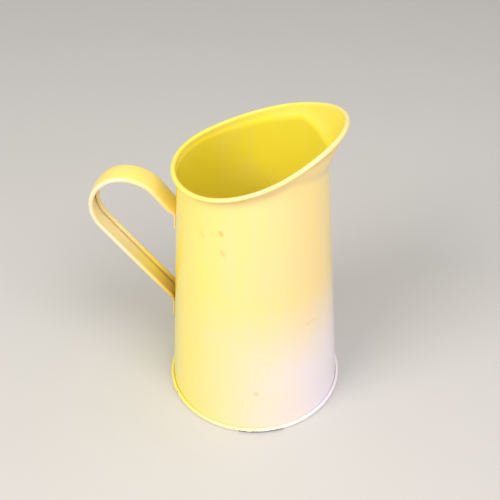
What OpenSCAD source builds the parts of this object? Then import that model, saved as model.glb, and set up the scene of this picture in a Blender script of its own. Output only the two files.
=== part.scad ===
// Painted sheet-steel jug: a tapered body with a slanted, flared mouth and a pouring lip,
// a recessed base rolled round the foot of the body, and a hairpin strap handle.
// The origin is on the body's axis, in the plane that the foot stands on.
// +X points to the pouring lip, +Z is up, and the handle is on -X.

/* [Body] */
// Outside diameter of the wall at the plane of the foot
wall_base_d = 121.8; // [100:0.1:150]
// Outside diameter that the wall would have at the height of the rim's sides
wall_top_d = 94; // [76:0.1:114]
// Height of the rim bead's centre at the jug's sides
body_h = 193.6; // [160:0.1:240]
// Thickness of the body's sheet
body_sheet = 0.5; // [0.4:0.05:0.8]

/* [Mouth] */
// How far the rim rises from the sides to the lip
lip_rise = 24.7; // [18:0.1:32]
// How far the rim drops from the sides to the handle
back_drop = 10.8; // [5:0.1:16]
// How much the rim is hollowed between its sides and the lip
rim_hollow = 1.2; // [0:0.1:3]
// Outside diameter of the rolled rim bead
rim_bead_d = 3.2; // [2.6:0.1:4]
// Height of the flare at the handle, from its fold to the bead's centre
flare_back_h = 4; // [3.5:0.1:6]
// Height of the flare beside the lip
flare_front_h = 9.3; // [6:0.1:12]
// How far the bead's centre stands out from the wall at the handle
flare_back_out = 1.8; // [1.7:0.1:4]
// How far the bead's centre stands out from the wall beside the lip
flare_front_out = 4.2; // [2.5:0.1:6]
// How much the mouth is drawn in between its sides and the handle
mouth_pinch = 1.6; // [0:0.1:2]
// How much deeper the fold dips at the middle of the lip
lip_depth = 20.2; // [12:0.1:28]
// How much further the middle of the lip stands out
lip_out = 4.6; // [3:0.1:9]
// Half of the angle that the lip takes up
lip_half_angle = 56; // [45:1:80]

/* [Foot] */
// Height of the rolled foot bead
foot_bead_d = 3; // [2.6:0.1:4]
// How far the foot bead stands out from the wall
foot_out = 2.1; // [1.8:0.1:3]
// Height of the base disc's underside above the foot
base_recess = 4; // [3.5:0.1:8]
// Thickness of the base's sheet
base_sheet = 0.5; // [0.4:0.05:0.7]

/* [Handle] */
// Width of the strap
strap_w = 17.7; // [14:0.1:24]
// Outside diameter of the strap's rolled edges
strap_bead_d = 3.2; // [2.6:0.1:4]
// Thickness of the strap's sheet
strap_sheet = 0.5; // [0.4:0.05:0.7]
// How much the strap is crowned across its width
strap_crown = 0.5; // [0:0.1:1]
// Height at which the line of the lower leg meets the wall
leg_h = 67.4; // [55:0.1:85]
// Length of the lower leg, from the wall to the loop
leg_l = 77.4; // [66:0.1:93]
// Angle of the lower leg above the horizontal
leg_tilt = 52.2; // [42:0.1:58]
// Angle of the upper leg above the horizontal
top_tilt = 53.9; // [46:0.1:60]
// Radius of the loop at the middle of the strap's sheet
loop_r = 26.6; // [22:0.1:32]
// Length of the lower tab, below the bend
low_tab = 12.4; // [8:0.1:18]
// Length of the upper tab, below the bend
top_tab = 11.6; // [8:0.1:15]

/* [Hidden] */
paint = [0.96, 0.90, 0.58];

fold_gap = 0.1;       // room between folded layers
hem_gap = 0.3;        // room inside the strap's pressed edges
weld_gap = 0.06;      // room between a tab and the wall that it is welded to
lip_power = 1.25;     // above 1, the lip's fold meets its sides smoothly
flat_end = 0.1;       // share of the foot ring, at either edge, that isn't flat
trumpet = 6;          // degrees that the flare turns outward on either side of its chord
fold_l = 2;           // length of wall, and of flare, that the fold's rounding takes up
rim_turn = 290;       // degrees that the rim's edge is rolled through
strap_turn = 285;     // degrees that the strap's edges are rolled through
tab_bend_r = 4;       // radius of the bend between a leg and its tab
press_l = 4;          // length of leg over which its rolled edges begin to be pressed flat

around = 96;          // facets round the body
flare_steps = 4;
rim_steps = 9;
crown_steps = 3;
edge_steps = 9;
hem_steps = 3;        // of the edge's steps, those that a pressed hem takes to turn back
loop_steps = 24;
bend_steps = 5;
tab_steps = 3;
press_steps = 4;

// ---- shared functions ----

function heading(a) = [cos(a), sin(a)];
function left_of(d) = [-d[1], d[0]];
function unit(v) = v / norm(v);
function blend(a, b, t) = a * (1 - t) + b * t;
function smooth(t) = t <= 0 ? 0 : t >= 1 ? 1 : t * t * (3 - 2 * t);
function bezier(a, b, c, t) = blend(blend(a, b, t), blend(b, c, t), t);

// where the line through p along d meets the line through q along e
function crossing(p, d, q, e) = p + d * ((q - p) * left_of(e)) / (d * left_of(e));

// direction of a line of points at its point i
function along(line, i) = unit(line[min(i + 1, len(line) - 1)] - line[max(i - 1, 0)]);

// outline of a sheet of thickness t whose middle follows a line of points
function sheet(line, t) = concat(
    [for (i = [0:len(line) - 1]) line[i] - left_of(along(line, i)) * t / 2],
    [for (i = [len(line) - 1:-1:0]) line[i] + left_of(along(line, i)) * t / 2]);

// triangles between rings of n points each; a closed skin joins the last ring to the first
function skin(rings, n, closed) = [
    for (i = [0:rings - (closed ? 1 : 2)], j = [0:n - 1], half = [0, 1])
        let (a = i * n + j,
             b = i * n + (j + 1) % n,
             c = ((i + 1) % rings) * n + (j + 1) % n,
             d = ((i + 1) % rings) * n + j)
        half == 0 ? [a, b, c] : [a, c, d]];

// triangles that close a sheet's end: k points on each side, the first of them at start
function sheet_end(start, k) = [
    for (j = [0:k - 2], half = [0, 1])
        let (a = start + j, b = a + 1, c = start + 2 * k - 2 - j, d = c + 1)
        half == 0 ? [a, c, b] : [a, d, c]];

function reversed(faces) = [for (f = faces) [f[2], f[1], f[0]]];

// ---- body wall and rim ----

taper = (wall_base_d - wall_top_d) / 2 / body_h;
function wall_r(z) = wall_base_d / 2 - taper * z;

// 1 at the middle of the lip, 0 beyond its sides
function lip(a) =
    abs(a) < lip_half_angle ? pow(cos(90 * a / lip_half_angle), lip_power) : 0;

// 1 towards the lip, 0 towards the handle
function front(a) = (1 + cos(a)) / 2;

function rim_h(a) =
    body_h + (lip_rise - back_drop) / 4 * (1 + cos(2 * a))
    + (lip_rise + back_drop) / 2 * cos(a)
    - rim_hollow * front(a) * pow(sin(2 * a), 2);
function fold_h(a) =
    rim_h(a) - blend(flare_back_h, flare_front_h, front(a)) - lip_depth * lip(a);
function rim_r(a) =
    wall_r(fold_h(a)) + blend(flare_back_out, flare_front_out, front(a))
    + lip_out * pow(lip(a), 2) - mouth_pinch * (1 - front(a)) * pow(sin(a), 2);

// ---- foot ----

foot_r = wall_base_d / 2 + foot_out;
bead_c = [foot_r - foot_bead_d / 2, foot_bead_d / 2];
flange_z = base_sheet + fold_gap + body_sheet / 2;

// the body's sheet at angle a, as [radius, height]: foot flange, wall, fold, flare and rim
function body_line(a) =
    let (half = body_sheet / 2,
         wall_up = unit([-taper, 1]),
         corner = [wall_r(flange_z) - half, flange_z],
         fold = [wall_r(fold_h(a)) - half, fold_h(a)],
         rim = [rim_r(a), rim_h(a)],
         roll_r = rim_bead_d / 2 - half,
         lean = atan2(rim[0] - roll_r - fold[0], rim[1] - fold[1]) + trumpet,
         top = rim + roll_r * [-cos(lean), sin(lean)],
         chord = top - fold,
         pull = fold + chord / 2 - left_of(chord) / 2 * tan(trumpet),
         lead = min(fold_l, norm(chord) / 3),
         flare_foot = fold + unit(pull - fold) * lead)
    concat(
        [[bead_c[0], flange_z]],
        [for (t = [0:0.5:1])
            bezier(corner + [body_sheet, 0], corner, corner + wall_up * body_sheet, t)],
        [for (t = [0:0.5:1]) bezier(fold - wall_up * lead, fold, flare_foot, t)],
        [for (i = [1:flare_steps]) bezier(flare_foot, pull, top, i / flare_steps)],
        [for (i = [1:rim_steps])
            let (b = lean + rim_turn * i / rim_steps)
            rim + roll_r * [-cos(b), sin(b)]]);

module body_shell() {
    rings = [for (i = [0:around - 1])
        let (a = 360 * i / around - (i > around / 2 ? 360 : 0))
        [for (p = sheet(body_line(a), body_sheet)) [p[0] * cos(a), p[0] * sin(a), p[1]]]];
    color(paint)
        polyhedron([for (ring = rings, p = ring) p], skin(around, len(rings[0]), true));
}

// the base's sheet, as [radius, height]: disc, skirt inside the wall, foot ring and the
// bead that is rolled over the body's flange
function base_line() =
    let (half = base_sheet / 2,
         disc_z = base_recess + half,
         skirt_r = wall_r(base_recess) - body_sheet - fold_gap - half,
         roll_r = foot_bead_d / 2 - half,
         edge_r = wall_r(foot_bead_d) + fold_gap + half,
         roll_end = acos((edge_r - bead_c[0]) / roll_r))
    concat(
        [[0, disc_z]],
        [for (t = [0:0.25:1])
            bezier([skirt_r - 2 * base_sheet, disc_z], [skirt_r, disc_z],
                   [skirt_r, disc_z - 2 * base_sheet], t)],
        [for (t = [0:0.25:1])
            bezier([skirt_r, half + base_sheet], [skirt_r, half],
                   [skirt_r + base_sheet, half], t)],
        [for (t = [flat_end, 1 - flat_end])
            [blend(skirt_r + base_sheet, bead_c[0], t), half]],
        [for (t = [0:0.1:1]) bead_c + roll_r * heading(blend(-90, roll_end, t))]);

module base_pan() {
    color(paint)
        rotate_extrude($fn = 180)
            polygon(sheet(base_line(), base_sheet));
}

// ---- handle ----

hem = strap_sheet + hem_gap;                      // height of a pressed edge's fold
low_off = strap_sheet / 2 + hem + weld_gap;       // the hems lie against the wall
top_off = strap_sheet / 2 + weld_gap;             // the hems lie outward
wall_down = unit([-taper, -1]);
wall_out = [-1, -taper] / norm([1, taper]);

leg_foot = [-wall_r(leg_h), leg_h];
leg_dir = heading(180 - leg_tilt);
top_dir = heading(-top_tilt);
loop_start = leg_foot + leg_dir * leg_l;
loop_c = loop_start - left_of(leg_dir) * loop_r;
loop_end = loop_c + left_of(top_dir) * loop_r;
low_corner = crossing(leg_foot + wall_out * low_off, wall_down, leg_foot, leg_dir);
top_corner = crossing(leg_foot + wall_out * top_off, wall_down, loop_end, top_dir);
low_reach = tab_bend_r * tan((90 - leg_tilt + atan(taper)) / 2);
top_reach = tab_bend_r * tan((90 - top_tilt + atan(taper)) / 2);

// curvature across the strap: its own crown, and the wall's where a tab lies on it
crown_k = 8 * strap_crown / pow(strap_w - strap_bead_d, 2);
low_k = 1 / wall_r(low_corner[1]);
top_k = -1 / wall_r(top_corner[1]);

// The stretches below give the strap's path as [place, direction, pressed, curvature
// across]: the edges are round where pressed is 0 and flat hems where it is 1.
function tab(from, to, k) = [for (i = [0:tab_steps])
    [blend(from, to, i / tab_steps), unit(to - from), 1, k]];

// t runs from 0 at the leg's round edges to 1 at the bend
function pressing(round, bent, dir, t) =
    [blend(round, bent, t), dir, t * t / 2, crown_k];

// t runs from 0 at the leg to 1 at the tab, and dir points along the path
function bending(corner, leg_d, tab_d, reach, dir, k, t) =
    [bezier(corner + leg_d * reach, corner, corner + tab_d * reach, t), dir,
     1 - (1 - t) * (1 - t) / 2, blend(crown_k, k, smooth(t))];

function strap_path() =
    let (low_bend = low_corner + leg_dir * low_reach,
         low_round = low_bend + leg_dir * press_l,
         top_bend = top_corner - top_dir * top_reach,
         top_round = top_bend - top_dir * press_l)
    concat(
        tab(low_corner + wall_down * low_tab, low_corner + wall_down * low_reach, low_k),
        [for (i = [bend_steps - 1:-1:1])
            let (t = i / bend_steps)
            bending(low_corner, leg_dir, wall_down, low_reach,
                    unit(blend(leg_dir, -wall_down, t)), low_k, t)],
        [for (i = [press_steps:-1:0])
            pressing(low_round, low_bend, leg_dir, i / press_steps)],
        [for (i = [0:loop_steps])
            let (a = blend(180 - leg_tilt, -top_tilt, i / loop_steps))
            [loop_c + left_of(heading(a)) * loop_r, heading(a), 0, crown_k]],
        [for (i = [0:press_steps])
            pressing(top_round, top_bend, top_dir, i / press_steps)],
        [for (i = [1:bend_steps - 1])
            let (t = i / bend_steps)
            bending(top_corner, -top_dir, wall_down, top_reach,
                    unit(blend(top_dir, wall_down, t)), top_k, t)],
        tab(top_corner + wall_down * top_reach, top_corner + wall_down * top_tab, top_k));

// right half of the strap's sheet, as [across, outward], from the middle to the edge's end
function half_strap(pressed) =
    let (roll_r = (strap_bead_d - strap_sheet) / 2,
         roll_c = strap_w / 2 - strap_bead_d / 2,
         hem_c = strap_w / 2 - hem / 2 - strap_sheet / 2,
         hem_l = roll_r * strap_turn * PI / 180 - hem * PI / 2)
    concat(
        [for (i = [0:crown_steps]) [blend(roll_c, hem_c, pressed) * i / crown_steps, 0]],
        [for (i = [1:edge_steps])
            let (a = 90 - strap_turn * i / edge_steps,
                 turn = 90 - 180 * min(i, hem_steps) / hem_steps,
                 back = hem_l * max(i - hem_steps, 0) / (edge_steps - hem_steps))
            blend([roll_c, -roll_r] + roll_r * heading(a),
                  [hem_c - back, -hem / 2] + hem / 2 * heading(turn), pressed)]);

function strap_line(pressed) =
    let (right = half_strap(pressed))
    concat([for (i = [len(right) - 1:-1:1]) [-right[i][0], right[i][1]]], right);

module handle() {
    path = strap_path();
    rings = [for (s = path)
        [for (p = sheet(strap_line(s[2]), strap_sheet))
            let (out = p[1] - s[3] * p[0] * p[0] / 2,
                 q = s[0] + left_of(s[1]) * out)
            [q[0], -p[0], q[1]]]];
    n = len(rings[0]);
    color(paint)
        polyhedron(
            [for (ring = rings, p = ring) p],
            concat(skin(len(path), n, false),
                   sheet_end(0, n / 2),
                   reversed(sheet_end((len(path) - 1) * n, n / 2))));
}

body_shell();
base_pan();
handle();
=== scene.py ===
import math

import bpy
import numpy as np
from mathutils import Matrix, Vector


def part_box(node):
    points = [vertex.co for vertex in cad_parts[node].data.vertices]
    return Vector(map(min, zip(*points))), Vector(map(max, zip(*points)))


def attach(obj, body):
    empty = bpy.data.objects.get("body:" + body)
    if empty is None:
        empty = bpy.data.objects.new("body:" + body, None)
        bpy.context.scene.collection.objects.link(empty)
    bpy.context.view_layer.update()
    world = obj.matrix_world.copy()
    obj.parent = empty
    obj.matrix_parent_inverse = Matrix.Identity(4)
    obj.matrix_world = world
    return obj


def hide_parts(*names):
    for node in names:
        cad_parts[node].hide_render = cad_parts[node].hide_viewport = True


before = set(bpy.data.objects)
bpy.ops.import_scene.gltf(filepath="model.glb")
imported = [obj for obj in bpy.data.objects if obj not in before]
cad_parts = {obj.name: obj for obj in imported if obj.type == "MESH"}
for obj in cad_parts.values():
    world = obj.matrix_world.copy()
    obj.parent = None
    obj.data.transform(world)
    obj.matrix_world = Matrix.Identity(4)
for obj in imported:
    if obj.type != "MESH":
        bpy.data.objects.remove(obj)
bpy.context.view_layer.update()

mm = 0.001
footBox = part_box("base_pan")


view = {
    "azimuth": 8.91,        # degrees round the jug, from straight in front towards the lip
    "elevation": 39.62,     # degrees above the floor
    "distance": 0.5728,     # metres from the aim point
    "aim": (-0.0026, 0.0, 0.1146),
    "roll": -0.65,          # degrees
    "lens": 61.2,           # millimetres
    "sensor": 36,           # millimetres
    "nearest": 0.01,        # metres, of what the camera shows
}


def makeCamera():
    camera = bpy.data.cameras.new("camera")
    camera.lens = view["lens"]
    camera.sensor_width = view["sensor"]
    camera.clip_start = view["nearest"]
    thing = bpy.data.objects.new("camera", camera)
    bpy.context.scene.collection.objects.link(thing)
    azimuth = math.radians(view["azimuth"])
    elevation = math.radians(view["elevation"])
    away = Vector((math.sin(azimuth) * math.cos(elevation),
                   -math.cos(azimuth) * math.cos(elevation),
                   math.sin(elevation)))
    roll = Matrix.Rotation(math.radians(view["roll"]), 3, "Z")
    turn = away.to_track_quat("Z", "Y").to_matrix() @ roll
    place = Vector(view["aim"]) + away * view["distance"]
    thing.matrix_world = Matrix.Translation(place) @ turn.to_4x4()
    bpy.context.scene.camera = thing


makeCamera()
print("camera placed")


class Wire:
    # a socket that can be used in sums like a number
    def __init__(self, paint, socket):
        self.paint = paint
        self.socket = socket

    def sum(self, operation, *values):
        return self.paint.node("ShaderNodeMath", {"operation": operation}, dict(enumerate(values)))

    def __add__(self, other):
        return self.sum("ADD", self, other)

    def __radd__(self, other):
        return self.sum("ADD", other, self)

    def __sub__(self, other):
        return self.sum("SUBTRACT", self, other)

    def __rsub__(self, other):
        return self.sum("SUBTRACT", other, self)

    def __mul__(self, other):
        return self.sum("MULTIPLY", self, other)

    def __rmul__(self, other):
        return self.sum("MULTIPLY", other, self)

    def __truediv__(self, other):
        return self.sum("DIVIDE", self, other)

    def __pow__(self, other):
        return self.sum("POWER", self, other)

    def most(self, other):
        return self.sum("MAXIMUM", self, other)

    def least(self, other):
        return self.sum("MINIMUM", self, other)


class Paint:
    # a material, and the one method that adds nodes to it
    def __init__(self, name):
        self.material = bpy.data.materials.new(name)
        self.material.use_nodes = True
        self.tree = self.material.node_tree
        self.tree.nodes.clear()

    def node(self, kind, settings=None, sockets=None, out=0):
        made = self.tree.nodes.new(kind)
        for name, value in (settings or {}).items():
            setattr(made, name, value)
        for key, value in (sockets or {}).items():
            if isinstance(value, Wire):
                self.tree.links.new(value.socket, made.inputs[key])
            else:
                made.inputs[key].default_value = value
        return Wire(self, made.outputs[out]) if len(made.outputs) else made

    def place(self):
        return self.node("ShaderNodeTexCoord", out="Object")

    def along(self, axis):
        return self.node("ShaderNodeSeparateXYZ", None, {0: self.place()}, out=axis)

    def stretched(self, scale):
        return self.node("ShaderNodeMapping", None, {"Vector": self.place(), "Scale": scale})

    def noise(self, scale, detail=3.0, roughness=0.5, place=None):
        return self.node("ShaderNodeTexNoise", None,
                         {"Vector": place or self.place(), "Scale": scale, "Detail": detail,
                          "Roughness": roughness})

    # 0 below low, 1 above high, smooth between them; low may lie above high
    def step(self, value, low, high):
        return self.node("ShaderNodeMapRange", {"interpolation_type": "SMOOTHSTEP"},
                         {"Value": value, "From Min": low, "From Max": high})

    def mix(self, share, first, second):
        return self.node("ShaderNodeMix", {"data_type": "RGBA"},
                         {0: share, 6: first, 7: second}, out=2)

    def vector(self, operation, first, second, out=0):
        return self.node("ShaderNodeVectorMath", {"operation": operation}, {0: first, 1: second}, out)

    # distance, in metres, from the straight stroke between two points
    def reach(self, start, end):
        run = Vector(end) - Vector(start)
        offset = self.vector("SUBTRACT", self.place(), start)
        share = self.vector("DOT_PRODUCT", offset, run / run.length_squared, "Value").most(0).least(1)
        nearest = self.node("ShaderNodeVectorMath", {"operation": "SCALE"}, {0: run, "Scale": share})
        return self.vector("DISTANCE", offset, nearest, "Value")

    def attribute(self, name):
        return self.node("ShaderNodeAttribute", {"attribute_name": name}, out="Fac")

    def bump(self, height, distance):
        return self.node("ShaderNodeBump", None, {"Height": height, "Distance": distance})

    def finish(self, sockets):
        shader = self.node("ShaderNodeBsdfPrincipled", None, sockets)
        self.node("ShaderNodeOutputMaterial", None, {"Surface": shader})
        return self.material


def colour(red, green, blue):
    # an sRGB colour of 0 to 255, as linear light
    def linear(c):
        c /= 255
        return c / 12.92 if c <= 0.04045 else ((c + 0.055) / 1.055) ** 2.4
    return (linear(red), linear(green), linear(blue), 1.0)


def unit(v):
    return v / np.linalg.norm(v, axis=-1, keepdims=True)


def leftOf(v):
    return np.stack([-v[..., 1], v[..., 0]], axis=-1)


def blend(a, b, t):
    return a * (1 - t) + b * t


def smooth(t):
    t = np.clip(t, 0, 1)
    return t * t * (3 - 2 * t)


def ramp(value, low, high):
    # 0 at low, 1 at high, smooth between them; low may lie above high
    return smooth((value - low) / (high - low))


def bezier(a, b, c, t):
    # the curve that leaves a towards b and reaches c from b
    return blend(blend(a, b, t), blend(b, c, t), t)


def sheetOutline(line, thickness):
    # each point of the sheet's middle line moved half the thickness to either side, along
    # the line's normal, down one side and back up the other
    ahead = np.concatenate([line[..., 1:, :], line[..., -1:, :]], axis=-2)
    behind = np.concatenate([line[..., :1, :], line[..., :-1, :]], axis=-2)
    side = leftOf(unit(ahead - behind)) * thickness / 2
    return np.concatenate([line - side, (line + side)[..., ::-1, :]], axis=-2)


def gridFaces(rings, count, closedRings):
    # quads between neighbouring rings of points, facing outward; every ring is closed
    last = rings if closedRings else rings - 1
    i, j = np.meshgrid(np.arange(last), np.arange(count), indexing="ij")
    nextI = (i + 1) % rings
    nextJ = (j + 1) % count
    return np.stack([i * count + j, nextI * count + j,
                     nextI * count + nextJ, i * count + nextJ], axis=-1).reshape(-1, 4)


def endFaces(start, half, flipped):
    # quads across the sheet at the end of a strap, from one side of its outline to the other
    j = np.arange(half - 1)
    faces = np.stack([start + j, start + 2 * half - 1 - j,
                      start + 2 * half - 2 - j, start + j + 1], axis=-1)
    return faces[:, ::-1] if flipped else faces


def makeMesh(name, points, faces, values=None, sharpAngle=50):
    mesh = bpy.data.meshes.new(name)
    mesh.from_pydata(points.reshape(-1, 3).tolist(), [], [list(face) for face in faces])
    for key, value in (values or {}).items():
        layer = mesh.attributes.new(key, "FLOAT", "POINT")
        layer.data.foreach_set("value", np.ascontiguousarray(value, dtype=np.float32).ravel())
    mesh.update()
    mesh.shade_smooth()
    mesh.set_sharp_from_angle(angle=math.radians(sharpAngle))
    thing = bpy.data.objects.new(name, mesh)
    bpy.context.scene.collection.objects.link(thing)
    return thing


enamel = {
    "deep": colour(253, 236, 70),       # paint that the sun hasn't reached; inside, also painted light for the bounce between yellow walls
    "pale": colour(253, 223, 150),      # paint that it has; also painted light on the lit side and inside the flare
    "paintedGlare": colour(244, 233, 240),     # a painted reflection of cool light, pale lavender
    # grime, and painted shade in the grooves and in the handle's channel
    "grimeAndShade": colour(205, 168, 84),
    "stain": colour(226, 172, 62),      # that rust leaves on the paint round it
    "rust": colour(150, 80, 34),
    "steel": colour(70, 67, 70),
    "cloud": 24,                        # noise scales, in grains a metre
    "dust": 300,
    "peel": 1100,
    "streak": (170, 170, 8),
    "toneSpread": (0.55, 0.35),         # by cloud and by streak
    "rough": 0.31,
    "roughSpread": (0.12, 0.04),        # by cloud and by dust
    "dull": {"paintedGlare": 0.45, "grimeAndShade": 0.55, "stain": 0.5, "rust": 0.85, "steel": 0.5},
    "coat": 0.6,
    "coatRough": 0.09,
    "relief": 0.1 * mm,                 # what a height of 1 stands for
    "peelHeight": 0.10,
    "rustHeight": 0.5,
    "steelDepth": 0.8,
}


def enamelFinish(paint, fadeAndLight, paintedGlare=0.0, grimeAndShade=0.0, stain=0.0, rust=0.0, steel=0.0):
    # deep yellow to pale by the fade-and-light share, which is partly painted light, a cloudy noise
    # and fine streaks; then painted glare, grime and painted shade, rust stain, rust and steel laid
    # over it by their shares; rougher where any of them is; the height is orange peel plus the rust's,
    # less the paint's thickness on steel
    cloud = paint.noise(enamel["cloud"], 3) - 0.5
    dust = paint.noise(enamel["dust"], 1) - 0.5
    streak = paint.noise(1.0, 2, place=paint.stretched(enamel["streak"])) - 0.5
    byCloud, byStreak = enamel["toneSpread"]
    tone = paint.mix(fadeAndLight + byCloud * cloud + byStreak * streak, enamel["deep"], enamel["pale"])
    byCloud, byDust = enamel["roughSpread"]
    rough = enamel["rough"] + byCloud * cloud + byDust * dust
    layers = {"paintedGlare": paintedGlare, "grimeAndShade": grimeAndShade, "stain": stain, "rust": rust, "steel": steel}
    for look, share in layers.items():
        if isinstance(share, Wire):
            tone = paint.mix(share, tone, enamel[look])
            rough = rough.most(share * enamel["dull"][look])
    relief = (enamel["peelHeight"] * paint.noise(enamel["peel"], 2)
              + rust * enamel["rustHeight"] - steel * enamel["steelDepth"])
    return paint.finish({"Base Color": tone, "Roughness": rough,
                         "Coat Weight": enamel["coat"], "Coat Roughness": enamel["coatRough"],
                         "Normal": paint.bump(relief, enamel["relief"])})


body = {
    "wallBase": 60.9 * mm,       # outside radius of the wall at the floor
    "wallTop": 47.0 * mm,        # and at the height of the rim's sides
    "height": 193.6 * mm,        # of the rim bead's centre at the sides
    "sheet": 0.5 * mm,
    "lipRise": 24.7 * mm,
    "backDrop": 10.8 * mm,
    "rimHollow": 1.2 * mm,
    "rimBead": 3.2 * mm,
    "flareHeight": (4.0 * mm, 9.3 * mm),    # at the handle, and beside the lip
    "flareOut": (1.8 * mm, 4.2 * mm),
    "pinch": 1.6 * mm,
    "lipDepth": 20.2 * mm,
    "lipOut": 4.6 * mm,
    "lipHalfAngle": 56,          # degrees
    "lipPower": 1.25,
    "foldLength": 2.4 * mm,
    "trumpet": 6,                # degrees of outward turn on either side of the flare's chord
    "rimTurn": 290,              # degrees that the rim is rolled through
    "flangeBase": 0.85 * mm,
    "flangeEnd": 1.5 * mm,       # in from the outside of the foot bead
    "around": 288,
    "cornerRows": 5,
    "wallRows": 44,
    "foldRows": 9,
    "flareRows": 11,
    "rimRows": 25,
    # rows past the top of the flare over which each surface value rises from 0 to 1
    "insideRows": (4, 0),
    "mouthRows": (-15, -7),
    "grooveRows": ((-5, -1), (14, 18)),         # on the outer and on the inner skin
    "wave": 0.10 * mm,           # how uneven the rolled sheet is
    # waves round the body: how many, phase, turn with height in radians a metre, share
    "waves": ((5, 0.6, 0, 1.0), (9, 2.1, 6, 0.7), (14, -1.2, -9, 0.5)),
    "waveFoot": (4 * mm, 22 * mm),              # heights over which they rise
    "waveFold": (4 * mm, 20 * mm),              # and depths below the fold
    "waveTabs": (0.25, 0.55),                   # and radians from the handle's plane
    "seam": 3.1,                 # degrees from the handle's plane to the edges of the seam's lap
    "seamColumns": (-0.5, -0.12, 0.12, 0.5),    # extra columns of points by each edge
    "seamStep": 0.2 * mm,        # how far the lap stands out
    "seamLine": 0.2,             # degrees to either side of an edge that dirt lies in
    "seamFoot": (4 * mm, 7 * mm),               # heights over which the lap rises
    "seamFold": 4 * mm,          # depth below the fold over which it falls
    "seamFade": 2 * mm,          # height over which it falls at the tabs
    "seamFlat": ((42 * mm, 73 * mm), (123 * mm, 147 * mm)),     # where the tabs lie on it
    "seamDirt": 0.4,
    "fadeAndLight": (0.22, 0.95),      # outside, on the shaded side and on the side painted paler as painted light
    "mouthHighlight": 0.16,         # a painted highlight on the inside of the flare
    # the side that painted light makes paler and pinker, and how far along it the ramp runs
    "litSide": (0.788, -0.616),
    "litReach": (-30 * mm, 48 * mm),         # along that side
    "glareSide": (0.994, -0.106),               # the side towards which the painted reflection of cool light lies
    "glareReach": (-53 * mm, 56 * mm),          # along that side
    "glareHeight": (122 * mm, 40 * mm),          # none above the first, full below the second
    "waterline": (61 * mm, 58 * mm),            # no tide stain above, full below
    "waterlineRagged": 4 * mm,
    "ragged": 900,               # noise scales, in grains a metre
    "cloud": 45,
    "glareCloud": (0.75, 0.5),   # least, and how much the cloud adds
    "dirtAndShadeCloud": (0.4, 1.2),
    # painted shade in the groove below the rolled rim, on the outer and the inner skin
    "grooveShade": 0.5,
    "tideDirt": 0.25,
    # rust specks: angle and height of both ends, radius and share
    "specks": (
        (-121.0, 160.2 * mm, -119.5, 157.8 * mm, 0.95 * mm, 0.16),
        (-113.0, 163.4 * mm, -110.0, 163.0 * mm, 0.90 * mm, 0.08),
        (-105.3, 165.2 * mm, -104.6, 164.0 * mm, 1.00 * mm, 0.42),
        (-104.5, 151.7 * mm, -103.1, 149.6 * mm, 1.00 * mm, 0.22),
        (-80.9, 36.5 * mm, -80.0, 35.6 * mm, 1.05 * mm, 0.26),
    ),
    # how much of a speck's share its rust and its stain take, and the ends of their edges
    # in radii
    "speckRust": (0.25, 1.4, 0.3),
    "speckStain": (1.1, 2.6, 0.3),
    "scratch": (-43.2, 87.4 * mm, -33.4, 86.3 * mm, 0.22 * mm, 0.5),
    "scratchEdge": (2, 0.5),
}
taper = (body["wallBase"] - body["wallTop"]) / body["height"]


def wallRadius(z):
    return body["wallBase"] - taper * z


def lip(angle):
    # a power of the cosine of the angle, stretched so that it is 0 at the lip's sides
    share = np.abs(angle) / math.radians(body["lipHalfAngle"])
    return np.clip(np.cos(np.minimum(share, 1) * math.pi / 2), 0, 1) ** body["lipPower"]


def front(angle):
    return (1 + np.cos(angle)) / 2


def rimHeight(angle):
    # two cosines, of the angle and of twice the angle, less a hollow beside the lip
    rise, drop = body["lipRise"], body["backDrop"]
    return (body["height"] + (rise - drop) / 4 * (1 + np.cos(2 * angle))
            + (rise + drop) / 2 * np.cos(angle)
            - body["rimHollow"] * front(angle) * np.sin(2 * angle) ** 2)


def foldHeight(angle):
    return rimHeight(angle) - blend(*body["flareHeight"], front(angle)) - body["lipDepth"] * lip(angle)


def rimRadius(angle):
    return (wallRadius(foldHeight(angle)) + blend(*body["flareOut"], front(angle))
            + body["lipOut"] * lip(angle) ** 2
            - body["pinch"] * (1 - front(angle)) * np.sin(angle) ** 2)


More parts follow.
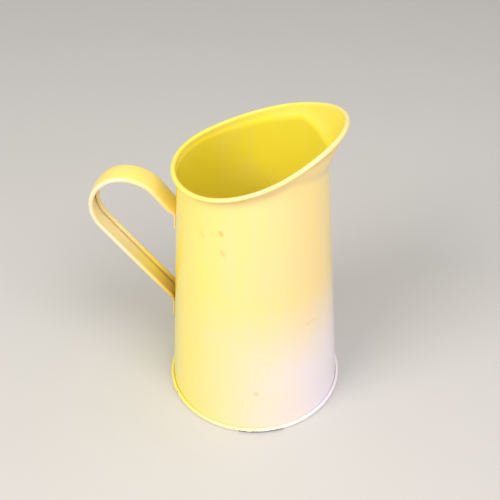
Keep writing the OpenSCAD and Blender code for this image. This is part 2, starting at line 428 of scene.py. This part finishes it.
def bodyLine(angle):
    # the sheet's middle line in the half plane at each angle: flange, corner, wall, fold,
    # flare and rolled rim, one after the other
    half = body["sheet"] / 2
    count = len(angle)
    wallUp = np.tile(unit(np.array([-taper, 1.0])), (count, 1))

    def spot(radius, height):
        return np.stack([np.broadcast_to(radius, count), np.broadcast_to(height, count)], axis=-1)

    base = body["flangeBase"]
    corner = spot(wallRadius(base) - half, base)
    fold = spot(wallRadius(foldHeight(angle)) - half, foldHeight(angle))
    rim = spot(rimRadius(angle), rimHeight(angle))
    rollRadius = body["rimBead"] / 2 - half
    lean = (np.arctan2(rim[:, 0] - rollRadius - fold[:, 0], rim[:, 1] - fold[:, 1])
            + math.radians(body["trumpet"]))
    top = rim + rollRadius * np.stack([-np.cos(lean), np.sin(lean)], axis=-1)
    chord = top - fold
    pull = fold + chord / 2 - leftOf(chord) / 2 * math.tan(math.radians(body["trumpet"]))
    lead = np.minimum(body["foldLength"], np.linalg.norm(chord, axis=-1) / 3)[:, None]
    flareFoot = fold + unit(pull - fold) * lead

    def rows(function, count, last=1.0):
        return np.stack([function(t) for t in np.linspace(0, last, count)], axis=1)

    cornerTop = corner + wallUp * 2 * half
    wallTop = fold - wallUp * lead
    flangeEnd = spot(footBox[1][0] - body["flangeEnd"], base)
    return np.concatenate([
        flangeEnd[:, None],
        rows(lambda t: bezier(corner + spot(2 * half, 0), corner, cornerTop, t), body["cornerRows"]),
        rows(lambda t: blend(cornerTop, wallTop, t), body["wallRows"])[:, 1:-1],
        rows(lambda t: bezier(wallTop, fold, flareFoot, t), body["foldRows"]),
        rows(lambda t: bezier(flareFoot, pull, top, t), body["flareRows"])[:, 1:],
        rows(lambda t: rim + rollRadius * np.stack([-np.cos(lean + t), np.sin(lean + t)], axis=-1),
             body["rimRows"], math.radians(body["rimTurn"]))[:, 1:],
    ], axis=1)


def unevenness(angle, z):
    # a sum of slow waves round the body that fade out at the foot, the fold and the tabs
    swing = sum(share * np.sin(count * angle + phase + climb * z)
                for count, phase, climb, share in body["waves"])
    ends = ramp(z, *body["waveFoot"]) * ramp(foldHeight(angle) - z, *body["waveFold"])
    return body["wave"] * swing * ends * ramp(math.pi - np.abs(angle), *body["waveTabs"])


def seamEnds(angle, z):
    # 1 along the wall, 0 at the foot, at the fold and where the handle's tabs lie
    ends = ramp(z, *body["seamFoot"]) * ramp(foldHeight(angle) - z, 0, body["seamFold"])
    for low, high in body["seamFlat"]:
        ends = ends * (1 - ramp(z - low, 0, body["seamFade"]) * ramp(high - z, 0, body["seamFade"]))
    return ends


def makeBody():
    edges = np.outer((-1, 1), np.radians(body["seam"] + np.array(body["seamColumns"])))
    angle = np.linspace(0, 2 * math.pi, body["around"], endpoint=False)
    angle = np.sort(np.concatenate([angle, math.pi + edges.ravel()]))
    angle = np.where(angle > math.pi, angle - 2 * math.pi, angle)
    line = bodyLine(angle)
    line[..., 0] += unevenness(angle[:, None], line[..., 1])
    outline = sheetOutline(line, body["sheet"])
    count = outline.shape[1]
    # the seam's lap stands out between its edges, on the outside only
    fromSeam = np.degrees(math.pi - np.abs(angle))[:, None] - body["seam"]
    along = seamEnds(angle[:, None], line[..., 1])
    outline[:, :count // 2, 0] += body["seamStep"] * np.where(fromSeam < 0, along, 0)
    points = np.stack([outline[..., 0] * np.cos(angle)[:, None],
                       outline[..., 0] * np.sin(angle)[:, None],
                       outline[..., 1]], axis=-1)
    # whether each point is inside the jug, on the inside of its flared mouth and in the
    # groove below the rolled rim
    steps = np.arange(line.shape[1]) - (line.shape[1] - body["rimRows"])
    inside = ramp(steps, *body["insideRows"])
    values = {"inside": (0 * inside, inside),
              "mouth": (0 * inside, inside * ramp(steps, *body["mouthRows"])),
              "groove": [ramp(steps, *rows) for rows in body["grooveRows"]]}
    layers = {}
    for key, (outer, inner) in values.items():
        row = np.concatenate([outer, inner[::-1]])
        layers[key] = np.broadcast_to(row, outline.shape[:2])
    dirty = np.where(np.abs(fromSeam) < body["seamLine"], along, 0)
    layers["seam"] = np.concatenate([dirty, 0 * along], axis=1)
    return makeMesh("bodySheet", points, gridFaces(len(angle), count, True), layers)


def onWall(angle, height):
    # the point of the wall's outside at an angle in degrees and a height
    radius, turn = wallRadius(height), math.radians(angle)
    return (radius * math.cos(turn), radius * math.sin(turn), height)


def glareShare(paint, x, y, z):
    # the painted reflection of cool light: the square of a ramp towards one side, times a ramp towards
    # the foot
    side = x * body["glareSide"][0] + y * body["glareSide"][1]
    low, high = body["glareReach"]
    return ((side - low) / (high - low)).most(0) ** 2 * paint.step(z, *body["glareHeight"])


def fadeAndSideLight(paint, x, y):
    # a smooth ramp across the jug, from the outside's fade on the shaded side up to painted light on
    # the lit side
    side = x * body["litSide"][0] + y * body["litSide"][1]
    low, high = body["fadeAndLight"]
    return low + (high - low) * paint.step(side, *body["litReach"])


def bodyPaint():
    # deep inside and bleached outside, partly sun fading and partly painted light for the bounce
    # inside; paler towards one side and inside the flare, as painted light; a painted reflection of
    # cool light towards the lip and the foot; painted shade in the grooves; grime along the seam and,
    # inside, below the waterline; each rust speck is 1 near its stroke, with a noise on the distance,
    # and a wider stain; both go by distance alone, so they show faintly on the wall's inside too
    paint = Paint("bodyPaint")
    x, y, z = (paint.along(axis) for axis in range(3))
    inside, mouth, groove, seam = (
        paint.attribute(name) for name in ("inside", "mouth", "groove", "seam"))
    ragged = paint.noise(body["ragged"], 2) - 0.5
    cloud = paint.noise(body["cloud"], 3)

    least, added = body["glareCloud"]
    # a painted reflection of cool light, outside only
    paintedGlare = glareShare(paint, x, y, z) * (least + added * cloud) * (1.0 - inside)

    tide = paint.step(z + ragged * body["waterlineRagged"], *body["waterline"]) * inside
    # grime along the seam and below the waterline, and painted shade in the grooves
    dirtAndShade = body["seamDirt"] * seam + body["grooveShade"] * groove + body["tideDirt"] * tide
    least, added = body["dirtAndShadeCloud"]
    grimeAndShade = dirtAndShade * (least + added * cloud)

    rust, stain = 0.0, 0.0
    for startAngle, startHeight, endAngle, endHeight, radius, share in body["specks"]:
        stroke = paint.reach(onWall(startAngle, startHeight), onWall(endAngle, endHeight))
        reach = stroke + ragged * radius
        much, far, near = body["speckRust"]
        rust = rust + share * much * paint.step(reach, radius * far, radius * near)
        much, far, near = body["speckStain"]
        stain = stain + share * much * paint.step(reach, radius * far, radius * near)
    *ends, radius, share = body["scratch"]
    far, near = body["scratchEdge"]
    scratch = paint.reach(onWall(*ends[:2]), onWall(*ends[2:]))
    stain = stain + share * paint.step(scratch, radius * far, radius * near)

    # deep inside and pale outside, partly painted light; paler on the lit side as painted light, and a
    # painted highlight inside the flare
    fadeAndLight = (1.0 - inside) * fadeAndSideLight(paint, x, y) + body["mouthHighlight"] * mouth
    return enamelFinish(paint, fadeAndLight, paintedGlare, grimeAndShade, stain, rust)


bodySheet = makeBody()
bodySheet.data.materials.append(bodyPaint())
print("body made")


base = {
    "recess": 4.0 * mm,          # underside of the disc above the floor
    "sheet": 0.5 * mm,
    "bead": 3.0 * mm,
    "gap": 0.1 * mm,
    "flatEnd": 0.1,              # share of the foot ring, at either edge, that isn't flat
    "around": 288,
    "discRows": 14,
    "bendRows": 7,
    "beadRows": 20,
    "dish": 0.25 * mm,           # how far the middle of the disc is dished down
    "fadeAndLight": 0.3,               # more than on the wall above the bead
    "chipShadowSide": (0.225, -0.974),             # the side of the bead whose paint is chipped, where the dark steel is also a painted contact shadow
    "chipShadowReach": (59.8 * mm, 61.8 * mm),     # along that side
    "chipShadowHeight": (2.2 * mm, 1.1 * mm),      # none above the first, most below the second
    "ragged": 330,               # noise scales, in grains a metre
    "scuff": 1500,
    "cloud": 60,
    "steelFrom": (0.70, 0.75),   # noise at which bare steel begins, and is full
    "steelChipShadow": 0.34,           # that the band of chips and painted contact shadow adds to the noise
    "rustFrom": (0.66, 0.70),
    "rustChip": 0.30,
    "rustShare": 0.7,
    "underReach": (2.6 * mm, 3.0 * mm),      # in from the bead's outside, where the underside begins
    "standing": (0.5 * mm, 0.1 * mm),        # none above the first, full below the second
    "scuffFrom": (0.5, 0.62),
    "scuffShare": 0.5,
    "underDirt": 0.35,
    "standingDirt": 0.5,
}


def makeBase():
    # disc, skirt, foot ring and rolled bead, as one line turned round the axis
    half = base["sheet"] / 2
    discZ = base["recess"] + half
    skirt = wallRadius(base["recess"]) - body["sheet"] - base["gap"] - half
    rollRadius = base["bead"] / 2 - half
    bead = np.array([footBox[1][0] - base["bead"] / 2, base["bead"] / 2])
    edge = wallRadius(base["bead"]) + base["gap"] + half
    rollEnd = math.acos((edge - bead[0]) / rollRadius)
    curl = 2 * base["sheet"]
    t = np.linspace(0, 1, base["bendRows"])[:, None]
    radius = np.linspace(0, skirt - curl, base["discRows"])[:-1]
    dish = base["dish"] * (1 - (radius / skirt) ** 2) ** 2
    turn = np.linspace(-math.pi / 2, rollEnd, base["beadRows"])
    flat = np.array([base["flatEnd"], 1 - base["flatEnd"]])
    line = np.concatenate([
        np.stack([radius, discZ - dish], axis=-1),
        bezier(np.array([skirt - curl, discZ]), np.array([skirt, discZ]),
               np.array([skirt, discZ - curl]), t),
        bezier(np.array([skirt, half * 3]), np.array([skirt, half]),
               np.array([skirt + 2 * half, half]), t),
        np.stack([blend(skirt + 2 * half, bead[0], flat), [half, half]], axis=-1),
        bead + rollRadius * np.stack([np.cos(turn), np.sin(turn)], axis=-1),
    ])
    outline = sheetOutline(line, base["sheet"])
    outline[0, 0] = outline[-1, 0] = 0
    angle = np.linspace(0, 2 * math.pi, base["around"], endpoint=False)[:, None]
    # the outline's first and last points are the poles, and are kept once each
    ring = outline[1:-1]
    points = np.stack([ring[:, 0] * np.cos(angle), ring[:, 0] * np.sin(angle),
                       np.broadcast_to(ring[:, 1], (base["around"], len(ring)))], axis=-1)
    count = len(ring)
    total = points.shape[0] * count
    faces = gridFaces(base["around"], count, True)
    faces = faces[faces[:, 0] % count != count - 1]     # no face joins the two poles' rings
    i = np.arange(base["around"])
    j = (i + 1) % base["around"]
    under = np.stack([np.full_like(i, total), i * count, j * count], axis=-1)[:, ::-1]
    over = np.stack([np.full_like(i, total + 1), i * count + count - 1,
                     j * count + count - 1], axis=-1)
    points = np.concatenate([points.reshape(-1, 3),
                             [[0, 0, outline[0, 1]], [0, 0, outline[-1, 1]]]])
    return makeMesh("basePan", points, faces.tolist() + under.tolist() + over.tolist())


def basePaint():
    # pale paint, with bare steel where a noise passes a threshold that is lower along a stretch of the
    # bead's lower edge, a stretch where the dark steel is also a painted contact shadow; grime and
    # fine scuffs on the ring it stands on; outside the underside, the body's painted side light and
    # painted reflection of cool light
    paint = Paint("basePaint")
    x, y, z = (paint.along(axis) for axis in range(3))
    ragged = paint.noise(base["ragged"], 4, 0.6)
    towards = x * base["chipShadowSide"][0] + y * base["chipShadowSide"][1]
    chipShadowBand = paint.step(towards, *base["chipShadowReach"]) * paint.step(z, *base["chipShadowHeight"])
    steel = paint.step(ragged + base["steelChipShadow"] * chipShadowBand, *base["steelFrom"])
    radius = (x * x + y * y) ** 0.5
    under = paint.step(radius, *(footBox[1][0] - reach for reach in base["underReach"]))
    standing = paint.step(z, *base["standing"])
    scuffs = paint.step(paint.noise(base["scuff"], 3), *base["scuffFrom"]) * standing
    grimeAndShade = (base["underDirt"] * under * paint.noise(base["cloud"], 3)
             + base["standingDirt"] * standing)
    rusty = paint.step(ragged + base["rustChip"] * chipShadowBand, *base["rustFrom"])
    rust = base["rustShare"] * rusty * (1.0 - steel)
    # paler on the lit side as painted light, outside the underside
    fadeAndLight = (1.0 - under) * (base["fadeAndLight"] + fadeAndSideLight(paint, x, y))
    # the body's painted reflection of cool light, outside the underside
    paintedGlare = (1.0 - under) * glareShare(paint, x, y, z)
    return enamelFinish(paint, fadeAndLight, paintedGlare, grimeAndShade, base["scuffShare"] * scuffs, rust, steel)


basePan = makeBase()
basePan.data.materials.append(basePaint())
print("base made")


strap = {
    "width": 17.7 * mm,
    "bead": 3.2 * mm,
    "sheet": 0.5 * mm,
    "crown": 0.5 * mm,
    "legFoot": 67.4 * mm,        # height at which the lower leg's line meets the wall
    "legLength": 77.4 * mm,
    "legTilt": 52.2,             # degrees above the horizontal
    "topTilt": 53.9,
    "loop": 26.6 * mm,
    "lowTab": 12.4 * mm,
    "topTab": 11.6 * mm,
    "bend": 4 * mm,
    "press": 4 * mm,
    "turn": 285,                 # degrees that the edges are rolled through
    "tabRows": (25, 19),         # points along the low and the top tab
    "bendRows": 12,
    "legRows": 26,
    "legThin": 3,                # the top leg is short, and takes one point in three
    "loopRows": 73,
    "flatRows": 13,              # points across, from the middle to the roll
    "rollRows": 24,
    "hemGap": 0.3 * mm,
    "weldGap": 0.06 * mm,
    "weldWidth": 3.4 * mm,       # of the spot welds' dimples
    "weldDepth": 0.22 * mm,
    "weldSide": 5.4 * mm,        # from the strap's middle
    "fadeAndLight": 0.5,
    "bleachEdge": 0.5,           # more on the rolled edges
    "paintedGlare": 0.36,               # a painted reflection in the channel between the rolled edges, away from the wall
    "glareReach": (-70 * mm, -92 * mm),
    "grimeAndShade": 0.75,               # painted shade in the channel, at its foot
    "shadeHeight": (94 * mm, 72 * mm),
    "edgeReach": (2.2 * mm, 0.8 * mm),      # in from the strap's edge, where the rolled edge begins
    "rollShadeRows": (28, 34),      # points from the strap's middle over which painted shade darkens the roll's gap
    # painted shade in the gap inside the roll
    "rollShadeStrength": 0.1,
    "cloud": 60,                 # noise scales, in grains a metre
    "chips": 380,
    "dirtAndShadeCloud": (0.6, 0.8),    # least, and how much the cloud adds
    "edgeCloud": 0.5,            # least, and the cloud adds to it
    "chipEdge": 0.05,            # that a rolled edge adds to the noise
    "rustFrom": (0.77, 0.80),    # noise at which rust begins, and is full
    "rustShare": 0.7,
    "stainFrom": (0.72, 0.79),
    "stainShare": 0.35,
}


def heading(angle):
    return np.stack([np.cos(angle), np.sin(angle)], axis=-1)


def crossing(p, d, q, e):
    # where the line through p along d meets the line through q along e
    return p + d * np.dot(q - p, leftOf(e)) / np.dot(d, leftOf(e))


def strapPath():
    # the strap's middle in the plane of the handle, with the direction, how far the edges
    # are pressed flat and the curvature across, at each point
    lowTilt, topTilt = math.radians(strap["legTilt"]), math.radians(strap["topTilt"])
    hem = strap["sheet"] + strap["hemGap"]
    wallDown = unit(np.array([-taper, -1.0]))
    wallOut = unit(np.array([-1.0, -taper]))
    foot = np.array([-wallRadius(strap["legFoot"]), strap["legFoot"]])
    legDir, topDir = heading(math.pi - lowTilt), heading(-topTilt)
    loopStart = foot + legDir * strap["legLength"]
    centre = loopStart - leftOf(legDir) * strap["loop"]
    loopEnd = centre + leftOf(topDir) * strap["loop"]
    lowOff = strap["sheet"] / 2 + hem + strap["weldGap"]
    topOff = strap["sheet"] / 2 + strap["weldGap"]
    low = crossing(foot + wallOut * lowOff, wallDown, foot, legDir)
    top = crossing(foot + wallOut * topOff, wallDown, loopEnd, topDir)
    slope = math.atan(taper)
    lowReach = strap["bend"] * math.tan((math.pi / 2 - lowTilt + slope) / 2)
    topReach = strap["bend"] * math.tan((math.pi / 2 - topTilt + slope) / 2)
    crown = 8 * strap["crown"] / (strap["width"] - strap["bead"]) ** 2
    lowCurve, topCurve = 1 / wallRadius(low[1]), -1 / wallRadius(top[1])

    def part(places, directions, pressed, curve):
        count = len(places)
        return np.concatenate([places, np.broadcast_to(directions, (count, 2)),
                               np.broadcast_to(pressed, (count, 1)),
                               np.broadcast_to(curve, (count, 1))], axis=1)

    def tab(start, end, curve, rows):
        t = np.linspace(0, 1, rows)[:, None]
        return part(blend(start, end, t), unit(end - start), 1, curve)

    def pressing(curl, bent, direction, t):
        return part(blend(curl, bent, t), direction, t * t / 2, crown)

    def bending(corner, legD, reach, first, last, curve, t):
        return part(bezier(corner + legD * reach, corner, corner + wallDown * reach, t),
                    unit(blend(first, last, t)), 1 - (1 - t) ** 2 / 2,
                    blend(crown, curve, smooth(t)))

    lowBend, topBend = low + legDir * lowReach, top - topDir * topReach
    lowRound, topRound = lowBend + legDir * strap["press"], topBend - topDir * strap["press"]
    forth = np.linspace(0, 1, strap["bendRows"])[:, None]
    back = forth[::-1]
    around = np.linspace(math.pi - lowTilt, -topTilt, strap["loopRows"])
    leg = np.linspace(0, 1, strap["legRows"])[1:-1, None]
    lowRows, topRows = strap["tabRows"]
    return np.concatenate([
        tab(low + wallDown * strap["lowTab"], low + wallDown * lowReach, lowCurve, lowRows),
        bending(low, legDir, lowReach, legDir, -wallDown, lowCurve, back[1:-1]),
        pressing(lowRound, lowBend, legDir, back),
        part(blend(lowRound, loopStart, leg), legDir, 0, crown),
        part(centre + leftOf(heading(around)) * strap["loop"], heading(around), 0, crown),
        part(blend(loopEnd, topRound, leg[::strap["legThin"]]), topDir, 0, crown),
        pressing(topRound, topBend, topDir, forth),
        bending(top, -topDir, topReach, topDir, wallDown, topCurve, forth[1:-1]),
        tab(top + wallDown * topReach, top + wallDown * strap["topTab"], topCurve, topRows),
    ])


def strapLine(pressed):
    # across the strap: flat in the middle, then an arc that rolls the edge, blended with
    # a half circle and a straight return where the edge is pressed to a hem
    hem = strap["sheet"] + strap["hemGap"]
    rollRadius = (strap["bead"] - strap["sheet"]) / 2
    rollCentre = (strap["width"] - strap["bead"]) / 2
    hemCentre = (strap["width"] - hem - strap["sheet"]) / 2
    turn = math.radians(strap["turn"])
    hemLength = rollRadius * turn - hem * math.pi / 2
    step = np.arange(1, strap["rollRows"] + 1) / strap["rollRows"]
    arc = np.array([rollCentre, -rollRadius]) + rollRadius * heading(math.pi / 2 - turn * step)
    fold = np.minimum(step * 3, 1)
    back = np.maximum(step * 3 - 1, 0) / 2
    pressedEdge = (np.stack([hemCentre - hemLength * back, np.full_like(step, -hem / 2)], axis=-1)
                   + hem / 2 * heading(math.pi / 2 - math.pi * fold))
    flatSteps = np.linspace(0, 1, strap["flatRows"])[None, :, None]
    middle = flatSteps * np.array([1.0, 0.0]) * blend(rollCentre, hemCentre, pressed)[:, None]
    edge = blend(arc, pressedEdge, pressed[:, None])
    right = np.concatenate([middle, edge], axis=1)
    left = right[:, :0:-1] * np.array([-1.0, 1.0])
    return np.concatenate([left, right], axis=1)


def dimples(path, across, out):
    # a round hollow with a smooth edge at each spot weld, two on each tab, pressed towards
    # the wall into the tab's outer skin alone, so that the tab's back stays off the wall
    height = path[:, 1:2]
    flat = path[:, 4:5] > 0.99
    hollow = np.zeros(across.shape)
    lowRows, topRows = strap["tabRows"]
    for tabRows, towardsWall in ((slice(0, lowRows), -1), (slice(-topRows, None), 1)):
        middle = height[tabRows].mean()
        fromWall = -towardsWall * out
        skin = flat & (fromWall > fromWall[tabRows].max() - strap["sheet"] / 4)
        for side in (-strap["weldSide"], strap["weldSide"]):
            away = np.hypot(height - middle, across - side)
            depth = ramp(away, strap["weldWidth"] / 2, 0)
            hollow += np.where(skin, towardsWall * depth, 0)
    return hollow * strap["weldDepth"]


def makeHandle():
    path = strapPath()
    line = strapLine(path[:, 4:5])
    outline = sheetOutline(line, strap["sheet"])
    across, out = outline[..., 0], outline[..., 1]
    out = out - path[:, 5:6] * across ** 2 / 2 + dimples(path, across, out)
    side = leftOf(path[:, 2:4])
    place = path[:, None, :2] + side[:, None] * out[..., None]
    points = np.stack([place[..., 0], -across, place[..., 1]], axis=-1)
    count = outline.shape[1]
    faces = np.concatenate([gridFaces(len(path), count, False),
                            endFaces(0, count // 2, True),
                            endFaces((len(path) - 1) * count, count // 2, False)])
    edge = ramp(strap["width"] / 2 - np.abs(across), *strap["edgeReach"])
    # the roll's last third, where painted shade darkens its gap
    steps = np.abs(np.arange(line.shape[1]) - line.shape[1] // 2)
    rollShade = ramp(steps, *strap["rollShadeRows"])
    rollShade = np.broadcast_to(np.concatenate([rollShade, rollShade[::-1]]), across.shape)
    channel = ramp(outline[..., 1], strap["sheet"] / 2, -strap["sheet"] / 2)
    return makeMesh("strapHandle", points, faces, {"edge": edge, "rollShade": rollShade, "channel": channel})


def handlePaint():
    # paler on the rolled edges, which hands rub; a painted reflection in the channel near the loop,
    # with painted shade at the channel's foot and where the rolls turn in; a few specks of rust, with
    # a wider stain, where a noise passes a threshold that is lower on the edges
    paint = Paint("handlePaint")
    edge, rollShade, channel = (paint.attribute(name) for name in ("edge", "rollShade", "channel"))
    x, z = paint.along(0), paint.along(2)
    cloud = paint.noise(strap["cloud"], 3)
    fadeAndLight = strap["fadeAndLight"] + strap["bleachEdge"] * edge * (strap["edgeCloud"] + cloud)
    # a painted reflection in the channel near the loop
    paintedGlare = strap["paintedGlare"] * channel * paint.step(x, *strap["glareReach"])
    # painted shade at the channel's foot
    low = strap["grimeAndShade"] * channel * paint.step(z, *strap["shadeHeight"])
    least, added = strap["dirtAndShadeCloud"]
    # painted shade where the rolls turn in and at the channel's foot
    grimeAndShade = (strap["rollShadeStrength"] * rollShade + low) * (least + added * cloud)
    chips = paint.noise(strap["chips"], 3, 0.6) + strap["chipEdge"] * edge
    rust = strap["rustShare"] * paint.step(chips, *strap["rustFrom"])
    stain = strap["stainShare"] * paint.step(chips, *strap["stainFrom"])
    return enamelFinish(paint, fadeAndLight, paintedGlare, grimeAndShade, stain, rust)


strapHandle = makeHandle()
strapHandle.data.materials.append(handlePaint())
print("handle made")


for piece, node in ((bodySheet, "body_shell"), (basePan, "base_pan"), (strapHandle, "handle")):
    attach(piece, "root")
    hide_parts(node)


studio = {
    "floor": colour(206, 203, 198),
    "floorSize": 3.0,
    "floorBend": 1.2,            # metres behind the jug, where the floor begins to rise
    "floorRise": 1.4,
    "floorCells": (30, 60),
    "floorRough": 0.6,
    "world": (1.0, 1.0, 1.0, 1.0),
    "worldStrength": 0.5,
    # lamps: place, point aimed at, size, power in watts, colour
    "lamps": {
        "key": ((-0.78, -0.88, 1.15), (0, 0, 0.12), 0.9, 14.4, (1.0, 0.98, 0.96)),
        "fill": ((1.05, -0.75, 0.5), (0, 0, 0.08), 0.9, 2.6, (1.0, 0.91, 1.0)),
        "top": ((0.45, -0.55, 1.2), (0, 0, 0.15), 0.7, 7.8, (1.0, 1.0, 1.0)),
    },
}


def makeFloor():
    # a flat floor whose height grows with the square of the distance past its bend
    size = studio["floorSize"]
    wide, deep = studio["floorCells"]
    run = np.linspace(-size, size, deep + 1)
    rise = np.maximum(run - studio["floorBend"], 0) ** 2 * studio["floorRise"]
    x, y = np.meshgrid(np.linspace(-size, size, wide + 1), run, indexing="ij")
    points = np.stack([x, y, np.broadcast_to(rise, x.shape)], axis=-1)
    i, j = np.meshgrid(np.arange(wide), np.arange(deep), indexing="ij")
    corner = i * (deep + 1) + j
    faces = np.stack([corner, corner + deep + 1, corner + deep + 2, corner + 1], axis=-1)
    floor = makeMesh("floor", points, faces.reshape(-1, 4))
    look = {"Base Color": studio["floor"], "Roughness": studio["floorRough"]}
    floor.data.materials.append(Paint("floorPaint").finish(look))


def makeLamp(name, place, target, size, power, tint):
    lamp = bpy.data.lights.new(name, "AREA")
    lamp.shape = "DISK"
    lamp.size = size
    lamp.energy = power
    lamp.color = tint
    thing = bpy.data.objects.new(name, lamp)
    turn = (Vector(place) - Vector(target)).to_track_quat("Z", "Y").to_matrix()
    thing.matrix_world = Matrix.Translation(Vector(place)) @ turn.to_4x4()
    bpy.context.scene.collection.objects.link(thing)


def makeWorld():
    world = bpy.data.worlds.new("studio")
    bpy.context.scene.world = world
    world.use_nodes = True
    back = world.node_tree.nodes["Background"]
    back.inputs["Color"].default_value = studio["world"]
    back.inputs["Strength"].default_value = studio["worldStrength"]


makeFloor()
makeWorld()
for name, values in studio["lamps"].items():
    makeLamp(name, *values)
bpy.context.scene.view_settings.view_transform = "Standard"
print("studio made")
